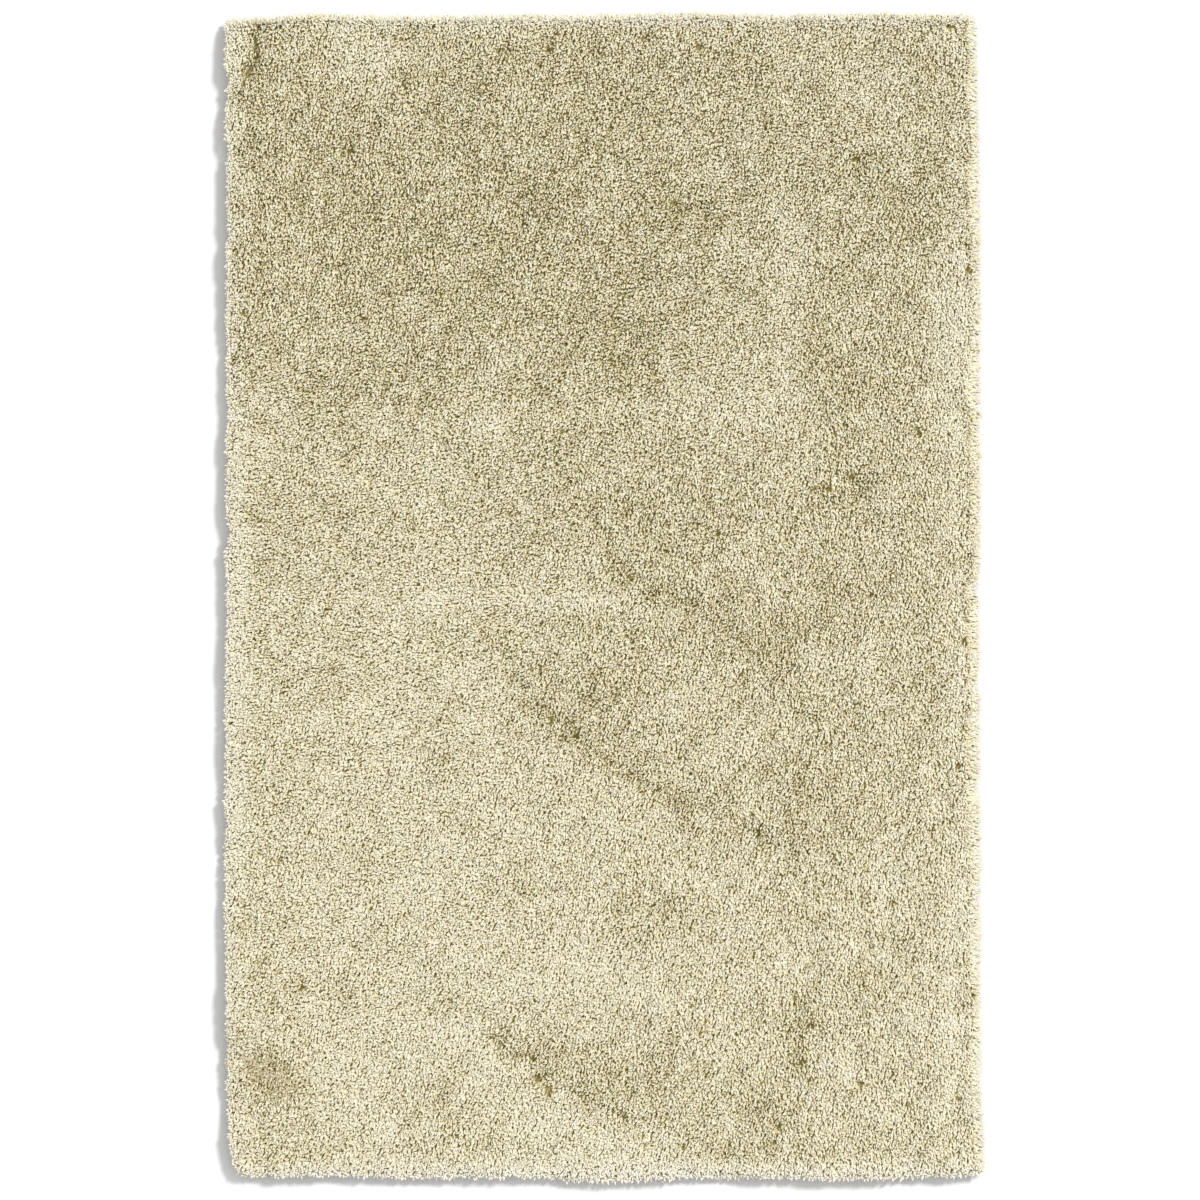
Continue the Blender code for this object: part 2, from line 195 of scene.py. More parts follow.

# smaller patches of painted light and shade, lighter and darker, charted: x, y and radius in mm, and by how
# many levels
shadePatches = (
    (-578, 1068, 24, -15), (-570, 1010, 18, -8), (-720, 1030, 16, -12), (-685, 945, 17, -8),
    (-685, 865, 21, -10), (-675, 785, 17, -8), (-735, 945, 18, 16), (-738, 905, 18, 18),
    (-745, 850, 16, 12), (-745, 790, 16, 10), (-520, 1040, 24, 9), (-510, 995, 20, 9), (-455, 1135, 24, 12),
    (-225, 1125, 30, 14), (-290, 1125, 26, 6), (-370, 1120, 18, 5), (-435, 1050, 22, 8),
    (-345, 1025, 17, -9), (-390, 1015, 14, -5), (-185, 1085, 16, -9), (-185, 1050, 16, -8),
    (-25, 1085, 22, -15), (-35, 1050, 16, -7), (-15, 1145, 18, 10), (-155, 975, 28, 18), (-295, 985, 20, 8),
    (-115, 885, 28, 9), (-255, 940, 14, -8), (-195, 855, 18, -7), (-545, 800, 26, -11), (-500, 765, 18, -9),
    (-290, 835, 20, 8), (-215, 775, 28, 9), (-340, 840, 70, 4), (-22, 760, 28, 12), (-20, 650, 34, 5),
    (-40, 910, 16, -6), (-522, 585, 24, -15), (-590, 620, 18, -8), (-680, 645, 24, -8), (-715, 620, 13, -9),
    (-680, 470, 23, -16), (-590, 415, 17, -9), (-460, 480, 22, -13), (-430, 440, 24, -15),
    (-530, 475, 20, -7), (-320, 505, 18, -11), (-250, 475, 17, -8), (-350, 400, 22, -11),
    (-355, 360, 20, -10), (-330, 310, 17, -9), (-300, 425, 26, -7), (-215, 535, 16, -6),
    (-190, 515, 16, -7), (-325, 570, 16, -8), (-300, 665, 18, -6), (-230, 645, 22, -7), (-70, 565, 16, -9),
    (-120, 465, 24, -9), (-75, 475, 24, -10), (-180, 420, 14, -7), (-85, 385, 20, -11), (-20, 330, 20, -8),
    (-675, 375, 19, 9), (-175, 275, 20, -15), (-250, 285, 16, -9), (-70, 285, 12, -8), (-150, 345, 24, 6),
    (-220, 325, 14, 6), (-395, 290, 22, 8), (-360, 260, 20, 8), (-450, 225, 20, 7), (-235, 195, 17, -10),
    (-25, 205, 24, 8), (-700, 155, 20, -14), (-385, 145, 20, -13), (-460, 130, 16, -6), (-520, 95, 18, -9),
    (-260, 95, 22, -11), (-210, 70, 17, -12), (-140, 115, 28, -10), (-130, 180, 18, -7), (-85, 135, 16, 7),
    (-690, 30, 22, -7), (-580, 50, 20, 8), (-642, -8, 20, 12), (200, 1000, 17, 12), (265, 1085, 19, -12),
    (190, 1090, 18, -9), (125, 1065, 14, -8), (250, 1125, 17, -6), (330, 1105, 19, 10), (245, 1000, 15, -9),
    (190, 945, 19, -10), (140, 920, 20, 8), (55, 915, 16, 7), (220, 865, 22, 14), (235, 830, 18, 7),
    (295, 855, 20, 9), (120, 805, 18, 8), (30, 770, 20, 9), (70, 800, 26, -7), (365, 890, 17, -6),
    (362, 860, 16, -6), (240, 693, 22, 17), (285, 680, 20, 14), (360, 745, 19, 14), (400, 710, 20, 10),
    (385, 650, 22, 13), (140, 735, 15, -8), (220, 745, 20, -6), (485, 815, 16, 12), (500, 770, 17, 14),
    (512, 725, 17, 13), (515, 845, 13, -11), (570, 905, 23, 13), (595, 845, 17, 14), (520, 900, 18, 8),
    (525, 990, 20, 10), (590, 985, 15, 12), (530, 1135, 19, 12), (600, 1150, 18, 8), (555, 1060, 18, -9),
    (635, 1072, 25, -13), (668, 1055, 14, -6), (695, 1115, 20, 10), (700, 1075, 20, 9), (420, 920, 19, 9),
    (735, 930, 16, 15), (675, 850, 17, -8), (675, 815, 15, -7), (745, 810, 15, -10), (725, 740, 19, 9),
    (715, 670, 23, 13), (700, 600, 34, 15), (720, 555, 28, 12), (655, 530, 20, 10), (690, 490, 20, 12),
    (690, 430, 22, 13), (700, 350, 24, 13), (700, 305, 24, 11), (640, 390, 16, 15), (748, 500, 15, -10),
    (748, 360, 17, -9), (748, 210, 17, -9), (500, 545, 28, 9), (245, 530, 18, 9), (320, 520, 14, 10),
    (220, 505, 18, 5), (360, 545, 15, -8), (185, 540, 14, -8), (260, 590, 16, -9), (435, 480, 18, -8),
    (487, 405, 16, -9), (510, 375, 16, -10), (475, 300, 15, -9), (340, 345, 23, 9), (215, 370, 20, 7),
    (300, 278, 18, -7), (345, 272, 18, -7), (390, 240, 13, -7), (410, 225, 15, 10), (455, 185, 17, -11),
    (370, 185, 19, -9), (380, 140, 24, -6), (515, 190, 14, -7), (215, 175, 16, -9), (565, 175, 20, 12),
    (570, 110, 20, 10), (650, 155, 17, 10), (580, 240, 13, -8), (130, 80, 17, -8), (450, 95, 15, -9),
    (610, 80, 15, -6), (700, 80, 20, -7), (40, 30, 18, -14), (100, 0, 22, -13), (260, 15, 26, -15),
    (30, 250, 22, 10), (540, 20, 22, 8), (30, 440, 24, -13), (90, 470, 22, -8), (150, 440, 14, -7),
    (65, 515, 22, -9), (100, 370, 20, -10), (-500, -90, 21, -12), (-570, -155, 26, -13),
    (-545, -185, 22, -12), (-475, -185, 22, -13), (-630, -185, 15, -12), (-710, -275, 24, -11),
    (-720, -100, 24, -7), (-690, -160, 20, -6), (-600, -360, 20, -12), (-385, -65, 16, -10),
    (-215, -50, 19, -12), (-235, -85, 18, -12), (-130, -105, 23, 9), (-50, -60, 22, -14),
    (-10, -55, 20, -12), (-190, -170, 19, -13), (-155, -215, 22, -16), (-115, -255, 22, -15),
    (-70, -290, 22, -15), (-25, -320, 25, -17), (-165, -275, 14, -12), (-15, -220, 22, -12),
    (-5, -150, 20, -13), (-300, -210, 14, -11), (-240, -225, 14, -7), (-350, -325, 24, -14),
    (-300, -335, 24, -14), (-380, -270, 18, -8), (-430, -340, 20, -6), (-440, -310, 20, 8),
    (-425, -270, 20, 7), (-190, -340, 24, -7), (-75, -415, 14, -8), (-470, -415, 18, -8),
    (-310, -450, 22, -9), (-270, -470, 22, -10), (-230, -490, 20, -7), (-690, -480, 20, 9),
    (-680, -530, 22, -7), (-710, -565, 20, -8), (-570, -535, 17, -11), (-525, -525, 16, -8),
    (-480, -555, 17, -11), (-620, -570, 20, 6), (-350, -600, 36, 6), (-225, -555, 21, 9),
    (-145, -595, 22, -13), (-65, -605, 15, -8), (-12, -555, 22, 11), (0, -480, 24, 7),
    (-650, -650, 16, -10), (-725, -660, 17, -9), (-615, -705, 15, -8), (-440, -670, 17, -8),
    (-410, -660, 15, -7), (-420, -730, 15, -7), (-680, -740, 20, -13), (-662, -820, 21, -14),
    (-440, -790, 19, 10), (-490, -800, 18, -7), (-610, -870, 22, -8), (-655, -1035, 16, 11),
    (-330, -880, 20, 8), (-250, -955, 19, 9), (-205, -910, 21, -14), (-170, -940, 21, -15),
    (-135, -970, 22, -16), (-105, -990, 18, -13), (-40, -1010, 23, -16), (-90, -915, 13, -10),
    (-70, -955, 15, 8), (-165, -1070, 25, 13), (-110, -1045, 25, 11), (-40, -1090, 20, 10),
    (-430, -1075, 31, 16), (-500, -1020, 26, 8), (-335, -1010, 19, -10), (-310, -1060, 20, -11),
    (-575, -960, 20, 6), (-565, -1130, 20, -11), (-490, -1155, 15, -10), (-130, -800, 20, 7),
    (-35, -710, 18, 7), (-20, -870, 20, 8), (-310, -20, 30, 7), (335, -20, 23, 11), (55, -70, 21, -14),
    (70, -130, 28, -13), (30, -190, 24, -12), (75, -190, 22, -12), (165, -30, 16, -14),
    (140, -180, 21, -12), (260, -120, 16, -12), (275, -185, 24, -14), (270, -235, 26, -15),
    (220, -230, 18, -11), (230, -60, 20, -8), (145, -245, 21, 7), (285, -75, 15, 7), (305, -105, 15, 7),
    (65, -310, 26, -14), (60, -360, 23, -13), (190, -305, 19, -12), (15, -335, 20, -10),
    (130, -410, 22, -15), (165, -430, 23, -15), (180, -475, 25, -16), (225, -475, 22, -15),
    (270, -475, 20, -11), (315, -500, 18, -15), (345, -420, 28, 10), (340, -470, 18, 6),
    (415, -130, 26, 12), (535, -105, 26, 15), (530, -170, 20, 6), (600, -40, 19, 9), (455, -60, 18, -8),
    (510, -40, 15, -8), (385, -310, 20, 11), (465, -335, 18, 10), (620, -220, 21, 13), (645, -165, 14, -9),
    (605, -400, 19, 10), (635, -390, 19, 10), (655, -350, 17, 7), (740, -100, 18, -10),
    (730, -280, 20, -11), (735, -215, 12, 10), (400, -410, 12, -8), (660, -525, 18, -9), (130, -560, 24, 9),
    (175, -550, 24, 9), (60, -540, 19, -9), (60, -590, 20, -11), (160, -635, 19, -11), (120, -670, 22, -9),
    (30, -660, 34, -9), (270, -610, 22, 8), (380, -580, 14, 9), (430, -620, 19, 7), (490, -615, 15, -9),
    (435, -655, 15, -9), (455, -690, 15, 9), (565, -585, 24, 13), (605, -640, 22, 11), (670, -615, 16, -9),
    (725, -640, 22, 14), (725, -590, 20, 11), (290, -660, 80, 4), (65, -800, 26, 14), (100, -820, 22, 14),
    (575, -745, 19, 12), (530, -785, 25, -8), (400, -735, 15, 8), (615, -860, 26, 13), (680, -855, 20, 8),
    (725, -865, 21, 15), (140, -885, 19, -15), (190, -875, 17, -10), (135, -925, 15, -9),
    (440, -940, 26, 14), (485, -960, 23, 13), (590, -945, 17, 10), (320, -970, 14, -11),
    (380, -945, 13, -8), (310, -1010, 23, -9), (60, -1000, 17, -12), (205, -975, 19, -9),
    (40, -1050, 15, -10), (555, -1040, 31, 15), (730, -1030, 23, 14), (330, 785, 17, -12),
    (-156, 585, 21, 12), (-270, 770, 18, 8), (-70, 720, 22, 8), (70, 1140, 18, 10), (700, 1140, 20, 12),
    (728, 650, 14, 12), (730, -1010, 18, 12), (240, -1050, 28, 11), (15, -1085, 23, 11),
    (190, -1110, 21, -11), (300, -1120, 17, -8), (455, -1120, 17, -8), (470, -1065, 13, 8),
    (160, -1155, 26, 12), (480, -1155, 18, 8),
)

# brown stains: x, y, half width and half height in mm, turn in degrees, and the share of strands that they
# colour. The first and largest lies near the left end of the lower edge
stains = (
    (-672, -962, 74, 46, -38, 0.9), (738, 316, 10, 16, 0, 0.8), (-584, -1054, 16, 12, 0, 0.4),
)

# which way the nap runs, in degrees from +X: x, y, angle. Its tips lie the opposite way, to the lower left
napStrokes = (
    (-0.64, 0.80, 72), (-0.34, 0.98, 67), (-0.28, 0.62, 60), (0.06, 1.06, 63), (0.30, 0.86, 49),
    (0.56, 0.98, 60), (0.12, 0.60, 44), (0.14, 0.38, 43), (0.56, 0.50, 68), (-0.36, 0.34, 46),
    (-0.64, 0.26, 38), (0.62, 0.16, 75), (0.14, 0.18, 67), (-0.22, 0.14, 45), (-0.64, -0.10, 27),
    (-0.34, -0.10, 36), (0.08, -0.22, 58), (0.50, -0.30, 66), (-0.66, -0.42, 45), (-0.34, -0.46, 46),
    (0.02, -0.46, 60), (0.62, -0.55, 72), (-0.58, -0.72, 44), (-0.22, -0.80, 48), (0.14, -0.80, 60),
    (0.50, -0.92, 76), (-0.62, -1.02, 45), (-0.10, -1.04, 58),
)
napReach = 0.19  # over what distance a stroke turns the nap

chance = np.random.RandomState(rug["seed"])


def bells(x, y, rows):  # the sum of soft patches
    total = np.zeros_like(x)
    for cx, cy, halfWidth, halfHeight, turn, amount in rows:
        c, s = math.cos(math.radians(turn)), math.sin(math.radians(turn))
        stepX, stepY = x - cx / 1000, y - cy / 1000
        across = (stepX * c + stepY * s) / (halfWidth / 1000)
        along = (stepY * c - stepX * s) / (halfHeight / 1000)
        total += amount * np.exp(-across**2 - along**2)
    return total


def awayFrom(x, y, line):  # distance to a line of several stretches, and the step from its nearest place
    best = np.full_like(x, 9.0)
    stepX, stepY = np.zeros_like(x), np.zeros_like(x)
    for (ax, ay), (bx, by) in zip(line, line[1:]):
        runX, runY = bx - ax, by - ay
        share = np.clip(((x - ax) * runX + (y - ay) * runY) / (runX**2 + runY**2), 0, 1)
        dx, dy = x - ax - share * runX, y - ay - share * runY
        away = np.hypot(dx, dy)
        nearer = away < best
        best[nearer], stepX[nearer], stepY[nearer] = away[nearer], dx[nearer], dy[nearer]
    return best, stepX, stepY


def noiseAt(x, y, size, layer):  # soft noise from about -1 to 1, another one on each layer
    return np.array([noise.noise(Vector((px, py, layer)) / size) for px, py in zip(x.tolist(), y.tolist())])


def topOfPile(x, y):  # the same surface as the solid's
    height = rug["pile"] + rug["swell"] * noiseAt(x, y, rug["swellSize"], 0.3)
    height += rug["lump"] * noiseAt(x, y, rug["lumpSize"], 1.7)
    for parting in partings:
        away = awayFrom(x, y, parting["line"])[0]
        height -= 0.5 * parting["depth"] * np.exp(-((away / parting["halfWidth"]) ** 2))
    for cx, cy, radius, depth in hollows:
        height -= depth * np.exp(-((x - cx) ** 2 + (y - cy) ** 2) / radius**2)
    return height


frill = {"size": 0.034, "depth": 2.6}  # small scallops of every edge, in m along it and mm across
frillPlaces = np.arange(-1.3, 1.3, 0.002)
frillOf = {side: frill["depth"] * noiseAt(frillPlaces, layer + 0 * frillPlaces, frill["size"], 9.1)
           for layer, side in enumerate(edgeWander)}


def edgeOffset(side, places):
    steps = np.array(edgeWander[side], float)
    share = 0.5 + places / rug["width"] if side in ("top", "bottom") else 0.5 - places / rug["length"]
    step = np.clip(share, 0, 1) * (len(steps) - 1)
    low = np.minimum(step.astype(int), len(steps) - 2)
    offset = steps[low] + (steps[low + 1] - steps[low]) * (1 - np.cos(np.pi * (step - low))) / 2
    for nicked, centre, depth, halfWidth in edgeNicks:
        if nicked == side:
            offset = offset - depth * np.exp(-(((places - centre) * 1000 / halfWidth) ** 2))
    return (offset + np.interp(places, frillPlaces, frillOf[side])) / 1000


def edgesAt(x, y):
    right, left = rug["width"] / 2 + edgeOffset("right", y), -rug["width"] / 2 - edgeOffset("left", y)
    top, bottom = rug["length"] / 2 + edgeOffset("top", x), -rug["length"] / 2 - edgeOffset("bottom", x)
    return left, right, bottom, top


cornerBlend = 0.012  # over how much of a corner the way out turns from one edge's to the next one's


def insetAt(x, y):  # how far inside the outline a place is, and the way out of the rug there
    left, right, bottom, top = edgesAt(x, y)
    signX, signY = np.where(x < 0, -1.0, 1.0), np.where(y < 0, -1.0, 1.0)
    radius = np.zeros_like(x)
    for (sideX, sideY), size in cornerRadius.items():
        radius[(signX == sideX) & (signY == sideY)] = size
    pastX = np.maximum(x - right, left - x) + radius
    pastY = np.maximum(y - top, bottom - y) + radius
    inset = radius - np.hypot(np.maximum(pastX, 0), np.maximum(pastY, 0))
    inset -= np.minimum(np.maximum(pastX, pastY), 0)
    towardsX = 1 / (1 + np.exp(-np.clip((pastX - pastY) / cornerBlend, -40, 40)))
    outX, outY = signX * towardsX, signY * (1 - towardsX)
    size = np.hypot(outX, outY)
    return inset, outX / size, outY / size


def pushedIn(x, y, least):  # moves places that lie too near the outline
    for _ in range(4):
        inset, outX, outY = insetAt(x, y)
        short = np.maximum(least - inset, 0)
        x, y = x - short * outX, y - short * outY
    return x, y


def sideShare(outX, outY, amounts):  # an edge's value, where the way out of the rug is this
    share = amounts["right"] * np.maximum(outX, 0) ** 2 + amounts["left"] * np.minimum(outX, 0) ** 2
    return share + amounts["top"] * np.maximum(outY, 0) ** 2 + amounts["bottom"] * np.minimum(outY, 0) ** 2


# how much the pile drops at each side, and within what distance of its outline
shoulder = {"right": 0.017, "top": 0.016, "left": 0.008, "bottom": 0.009, "width": 0.020}


def tipSurface(x, y):
    inset, outX, outY = insetAt(x, y)
    share = np.clip(inset / shoulder["width"], 0, 1)
    return topOfPile(x, y) - sideShare(outX, outY, shoulder) * (1 - np.sqrt(1 - (1 - share) ** 2))


def newMaterial(name):
    material = bpy.data.materials.new(name)
    material.use_nodes = True
    nodes, links = material.node_tree.nodes, material.node_tree.links
    return material, nodes, links, nodes["Principled BSDF"]


def ramp(nodes, stops):
    node = nodes.new("ShaderNodeValToRGB")
    band = node.color_ramp
    while len(band.elements) < len(stops):
        band.elements.new(0.5)
    for element, (place, colour) in zip(band.elements, stops):
        element.position = place
        element.color = (*colour, 1)
    return node


def worked(nodes, links, operation, *values):  # a value worked out from sockets and numbers
    node = nodes.new("ShaderNodeMath")
    node.operation = operation
    for socket, value in zip(node.inputs, values):
        if isinstance(value, float):
            socket.default_value = value
        else:
            links.new(value, socket)
    return node.outputs[0]


def relief(nodes, links, shader, height, strength, distance):  # bumps as high as a value says
    bump = nodes.new("ShaderNodeBump")
    bump.inputs["Strength"].default_value = strength
    bump.inputs["Distance"].default_value = distance
    links.new(height, bump.inputs["Height"])
    links.new(bump.outputs["Normal"], shader.inputs["Normal"])
    return bump


yarnLook = {
    # across the map: pale grey yarn ends, brown stained yarn, and cream yarn from its darkest to its
    # lightest, whose tones carry random unevenness and the painted light and shade of shadeAt
    "tones": (
        (0.045, (0.80, 0.775, 0.66)), (0.050, (0.50, 0.42, 0.23)), (0.12, (0.80, 0.71, 0.48)),
        (0.15, (0.42, 0.362, 0.175)), (0.45, (0.71, 0.645, 0.390)), (0.62, (0.84, 0.778, 0.545)),
        (0.80, (0.93, 0.870, 0.668)), (1.00, (0.98, 0.932, 0.790)),
    ),
    # along a strand: painted shade, darker and browner towards its root deep in the pile
    "rootShade": (
        (0.00, (0.57, 0.485, 0.20)), (0.40, (0.86, 0.785, 0.49)), (0.65, (1, 1, 1)), (1.00, (1, 1, 1)),
    ),
    "roughness": 0.92,
    "sheen": 0.15,
    "specular": 0.15,
    "strandWidth": 0.02,  # how much of the map's width one strand takes
    "bend": 0.60,  # how far up the map a strand's bend lies
    "softness": 0.72,
    "twists": 5,
    "twistHeight": 0.0004,
}


def yarnMaterial():
    material, nodes, links, shader = newMaterial("creamYarn")
    shader.inputs["Roughness"].default_value = yarnLook["roughness"]
    shader.inputs["Sheen Weight"].default_value = yarnLook["sheen"]
    shader.inputs["Specular IOR Level"].default_value = yarnLook["specular"]
    place = nodes.new("ShaderNodeUVMap")
    place.uv_map = "OFBake"
    split = nodes.new("ShaderNodeSeparateXYZ")
    links.new(place.outputs["UV"], split.inputs["Vector"])
    # tone gives the strand's colour, depth the painted shade towards its root
    tone, depth = ramp(nodes, yarnLook["tones"]), ramp(nodes, yarnLook["rootShade"])
    links.new(split.outputs["X"], tone.inputs["Fac"])
    links.new(split.outputs["Y"], depth.inputs["Fac"])
    both = nodes.new("ShaderNodeMix")
    both.data_type, both.blend_type = "RGBA", "MULTIPLY"
    both.inputs["Factor"].default_value = 1.0
    links.new(tone.outputs["Color"], both.inputs["A"])
    links.new(depth.outputs["Color"], both.inputs["B"])
    links.new(both.outputs["Result"], shader.inputs["Base Color"])

    # the yarn's two plies wind round each other
    across, along = 2 * math.pi / yarnLook["strandWidth"], 2 * math.pi * yarnLook["twists"]
    rise = worked(nodes, links, "MULTIPLY", split.outputs["Y"], along)
    turn = worked(nodes, links, "MULTIPLY_ADD", split.outputs["X"], across, rise)
    relief(nodes, links, shader, worked(nodes, links, "SINE", turn), 0.5, yarnLook["twistHeight"])
    return material


# the lower pile that shows between the strands: yarn ends as cells, drawn out along the nap, in dark browns
# of painted shade that darken further towards each cell's edge
groundLook = {
    "cell": (0.0095, 0.0046, 0.0095),
    "nap": 52,
    "colours": ((0.0, (0.70, 0.615, 0.30)), (0.35, (0.58, 0.495, 0.205)), (0.62, (0.34, 0.275, 0.080))),
    "relief": 0.004,
}


def groundMaterial():
    material, nodes, links, shader = newMaterial("deepPileShade")
    shader.inputs["Roughness"].default_value = 0.95
    place = nodes.new("ShaderNodeTexCoord")
    along = nodes.new("ShaderNodeMapping")
    along.vector_type = "TEXTURE"
    along.inputs["Rotation"].default_value = (0, 0, math.radians(groundLook["nap"]))
    along.inputs["Scale"].default_value = groundLook["cell"]
    tufts = nodes.new("ShaderNodeTexVoronoi")
    tufts.inputs["Scale"].default_value = 1
    links.new(place.outputs["Object"], along.inputs["Vector"])
    links.new(along.outputs["Vector"], tufts.inputs["Vector"])
    colour = ramp(nodes, groundLook["colours"])
    links.new(tufts.outputs["Distance"], colour.inputs["Fac"])
    paintedShade = nodes.new("ShaderNodeAttribute")
    paintedShade.attribute_name = "paintedShade"
    shadedColour = nodes.new("ShaderNodeVectorMath")
    shadedColour.operation = "SCALE"
    links.new(colour.outputs["Color"], shadedColour.inputs[0])
    links.new(paintedShade.outputs["Fac"], shadedColour.inputs["Scale"])
    links.new(shadedColour.outputs["Vector"], shader.inputs["Base Color"])
    relief(nodes, links, shader, tufts.outputs["Distance"], 0.8, groundLook["relief"]).invert = True
    return material


# the woven backing: its colours from the gaps between its threads, darkened with painted shade, to their
# tops
backingLook = {
    "colours": ((0.0, (0.30, 0.24, 0.14)), (1.0, (0.66, 0.57, 0.40))),
    "threads": 62,
    "relief": 0.0006,
}


def backingMaterial():
    material, nodes, links, shader = newMaterial("wovenBacking")
    shader.inputs["Roughness"].default_value = 0.9
    place = nodes.new("ShaderNodeTexCoord")
    colour = ramp(nodes, backingLook["colours"])
    bands = []
    for direction in ("X", "Y"):
        wave = nodes.new("ShaderNodeTexWave")
        wave.bands_direction = direction
        wave.inputs["Scale"].default_value = backingLook["threads"]
        wave.inputs["Distortion"].default_value = 0.6
        wave.inputs["Detail Scale"].default_value = 30
        links.new(place.outputs["Object"], wave.inputs["Vector"])
        bands.append(wave.outputs["Fac"])
    weave = worked(nodes, links, "MULTIPLY", *bands)
    links.new(weave, colour.inputs["Fac"])
    links.new(colour.outputs["Color"], shader.inputs["Base Color"])
    relief(nodes, links, shader, weave, 0.6, backingLook["relief"])
    return material


yarn = yarnMaterial()
deepPileShade = groundMaterial()
backingWeave = backingMaterial()
print("materials made")

pile = {
    "spacing": 0.0044,  # from tip to tip
    "jitter": 0.42,
    "lean": 0.0110,  # how far a tip lies from over its root
    "leanSpread": 0.0035,
    "leanRange": (0.004, 0.021),
    "swirl": 22,  # degrees
    "turnSpread": 20,
    "radius": 0.0023,
    "radiusSpread": 0.0004,
    "curl": 0.0010,
    "tipDrop": 0.0054,  # how far some tips stay under the others
    "bend": 0.68,  # where a strand bends, from its root to its tip
    "bendDrop": (0.0014, 0.002),  # how far under the tips that is, for a short lean and for a long one
    "rimShadingWidth": 0.012,  # how far in the rim's painted light and shade reach
    "paleGreyWidth": 0.013,  # and its pale grey yarn ends
    "fan": 0.30,  # how unevenly the edge's strands fall outwards
    "rootDepth": 0.002,  # how far under the ground's surface a strand starts
    "least": 0.003,  # the least height of a tip over the floor and of a bend over its root
    "bands": 6,
}

# what changes from dark pile to light: see calmOf
calm = {
    "range": 44,
    "radius": (0.88, 1.14),
    "lean": (0.80, 1.25),
    "drop": (2.1, 0.40),
    # where a root sits on the painted root shade's ramp, from dark pile to light
    "rootLight": (0.02, 0.52),  # place on the map's ramp
    "spread": (1.2, 0.6),
    "clump": (2.1, 1.0),
    "groundDrop": (0.0115, 0.0080),
    # painted shade of the lower pile, darker where the pile looks dark
    "groundPaintedShade": (0.60, 1.20),
}


def between(ends, share):
    return ends[0] + (ends[1] - ends[0]) * share


ground = {"across": 96, "along": 148, "inset": 0.013, "edgeDrop": 0.009, "edgeWidth": 0.022, "foot": 0.0022}
rootInset = ground["inset"] + 0.002

# for each side: how far in the pile falls outwards, how far its ends reach past the outline, by how many
# levels painted light makes it paler there, or painted shade darker where that is negative, and what share
# of its yarn ends is pale grey
rimFall = {"right": 0.026, "top": 0.015, "left": 0.003, "bottom": 0.009}
rimReach = {"right": 0.0090, "top": 0.0050, "left": 0.0045, "bottom": 0.0070}
rimLightAndShade = {"right": -10, "top": -6, "left": 30, "bottom": 34}
rimPaleGrey = {"right": 0.75, "top": 0.55, "left": 0.10, "bottom": 0.15}

rim = {
    "spacing": 0.0040,
    # each row's inset and height at its tips
    "rows": ((0.0060, 0.0022), (0.0035, 0.0050), (0.0015, 0.0085), (0.0010, 0.0120), (0.0020, 0.0150)),
    "reach": (0.4, 1.1),  # shares of the way from the roots to those insets
    "stray": 1.2,  # the most that a tip goes further, in shares of its side's rimReach
    "unevenTop": (-0.0010, 0.0025),
    "fan": 0.28,
    "rootRise": 0.006,  # how far over its tip a strand starts
    "rootTop": 0.018,  # but never higher over the floor than this
    "radius": 0.0014,
    "radiusSpread": 0.0002,
    # where the painted root shade starts on the map's ramp
    "rootLight": 0.3,
}


def groundTop(x, y):
    inset = insetAt(x, y)[0]
    share = np.clip((inset - ground["inset"]) / ground["edgeWidth"], 0, 1)
    drop = between(calm["groundDrop"], calmOf(shadeAt(x, y)))
    return topOfPile(x, y) - drop - ground["edgeDrop"] * (1 - share) ** 2


def napAt(x, y):
    sumX, sumY = np.zeros_like(x), np.zeros_like(x)
    for cx, cy, angle in napStrokes:
        weight = np.exp(-((x - cx) ** 2 + (y - cy) ** 2) / napReach**2) + 1e-9
        sumX += weight * math.cos(math.radians(angle))
        sumY += weight * math.sin(math.radians(angle))
    return np.arctan2(sumY, sumX)


# how the pile's shade varies beyond its charts, in levels of 255, and over what distance, in m
mottle = {
    "blotch": 5,
    "blotchSize": 0.050,
    "streak": 11,  # streaks are drawn out along the nap
    "streakSize": 0.013,
    "streakWay": (0.62, 0.79),
    "curl": 8,
    "curlSize": 0.009,
    "partingWidth": 0.017,
    "partingBreak": 0.022,
    "partingAbove": 0.055,
    "partingBelow": 0.075,
    # painted shade round a pit, in levels of 255
    "pitShade": 30,
}


def shadeAt(x, y):  # how much lighter or darker the pile looks, in levels of 255
    shade = bells(x, y, brushedShade)
    shade += bells(x, y, [(cx, cy, radius, radius, 0, amount) for cx, cy, radius, amount in shadePatches])
    broken = np.clip(1 + 3 * noiseAt(x, y, mottle["partingBreak"], 8.2), 0, 2)
    # painted shade along each parting, in broken stretches, and on its upper side, painted light on its
    # lower side
    for parting in partings:
        away, stepX, stepY = awayFrom(x, y, parting["line"])
        above = parting["above"] * np.exp(-away / mottle["partingAbove"])
        below = parting["below"] * np.exp(-away / mottle["partingBelow"])
        shade -= np.where(stepX + stepY > 0, above, -below)
        shade -= parting["on"] * np.exp(-((away / mottle["partingWidth"]) ** 2)) * broken
    wayX, wayY = mottle["streakWay"]
    along, across = wayX * x + wayY * y, wayX * y - wayY * x
    clump = mottle["streak"] * noiseAt(0.45 * along, across, mottle["streakSize"], 6.3)
    clump += mottle["curl"] * noiseAt(x, y, mottle["curlSize"], 2.9)
    clump *= between(calm["clump"], calmOf(shade))
    shade += mottle["blotch"] * noiseAt(x, y, mottle["blotchSize"], 4.1) + clump
    # painted shade round the pits
    return shade - mottle["pitShade"] * pitAt(x, y)


def calmOf(shade):  # from 0 where the pile is dark and stands open to 1 where it is light and lies smooth
    return np.clip(0.5 + shade / calm["range"], 0, 1)


